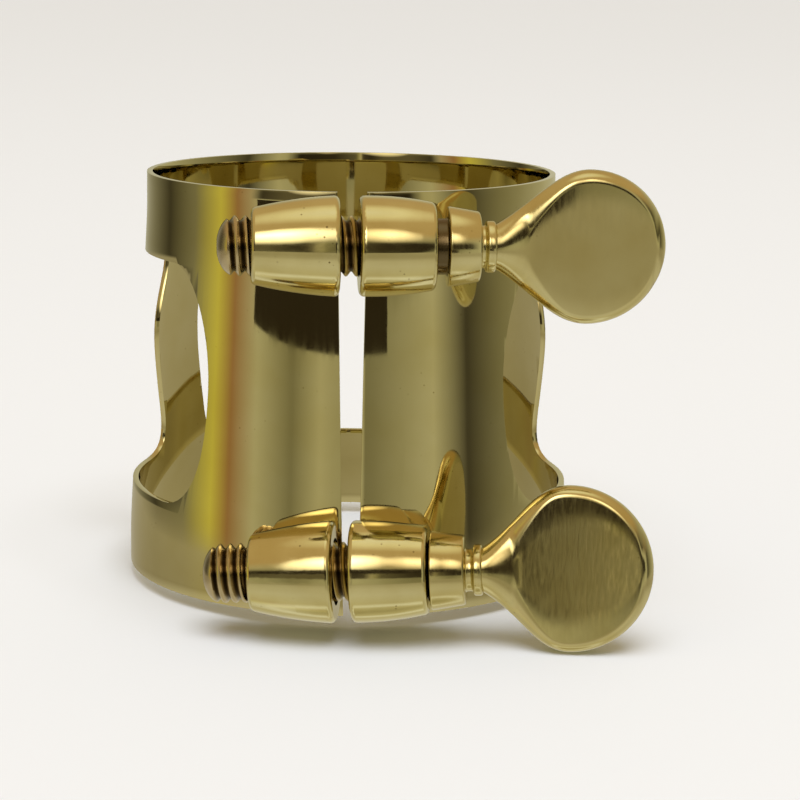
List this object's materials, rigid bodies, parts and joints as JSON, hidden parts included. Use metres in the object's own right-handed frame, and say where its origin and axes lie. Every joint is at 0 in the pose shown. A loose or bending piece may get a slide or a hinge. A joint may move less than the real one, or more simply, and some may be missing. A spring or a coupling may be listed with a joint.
{
  "type": "woodwind ligature",
  "caption": "Split brass band that clamps a reed to a saxophone mouthpiece, drawn shut by thumb screws through posts beside the slit.",
  "frame": {"origin": "centre of the wide mouth of the band, on the band's axis", "axes": "+Z along the band's axis from the wide mouth to the narrow mouth, -Y out through the slit, +X along the screws towards their paddles"},
  "size_m": [0.0319, 0.0333, 0.0272],
  "materials": {
    "band_brass": "polished and lacquered",
    "post_brass": "turned, polished and lacquered",
    "screw_brass": "cast, polished and lacquered, threads left raw"
  },
  "bodies": {
    "right_side": {"band_right_half": "band_brass", "upper_right_post": "post_brass", "lower_right_post": "post_brass"},
    "left_side": {"band_left_half": "band_brass", "upper_left_post": "post_brass", "lower_left_post": "post_brass"},
    "upper_screw": {"upper_thumb_screw": "screw_brass"},
    "lower_screw": {"lower_thumb_screw": "screw_brass"}
  },
  "joints": [
    {"name": "band_close", "type": "hinge", "parent": "right_side", "child": "left_side", "pos_m": [0, 0.0132, 0.0125], "axis": [0, 0, 1], "range_deg": [-1.36, 1.06]},
    {"name": "upper_screw_turn", "type": "hinge", "parent": "right_side", "child": "upper_screw", "pos_m": [0, -0.0152, 0.02212], "axis": [-0.9986, -0.0523, 0.0017], "range_deg": [-405, 316]},
    {"name": "lower_screw_turn", "type": "hinge", "parent": "right_side", "child": "lower_screw", "pos_m": [0, -0.01625, 0.00335], "axis": [-0.9932, 0.1044, -0.0523], "range_deg": [-418, 326]}
  ],
  "couplings": [
    {"joint": "upper_screw_turn", "follows": "band_close", "ratio": 297},
    {"joint": "lower_screw_turn", "follows": "band_close", "ratio": 306.7}
  ]
}
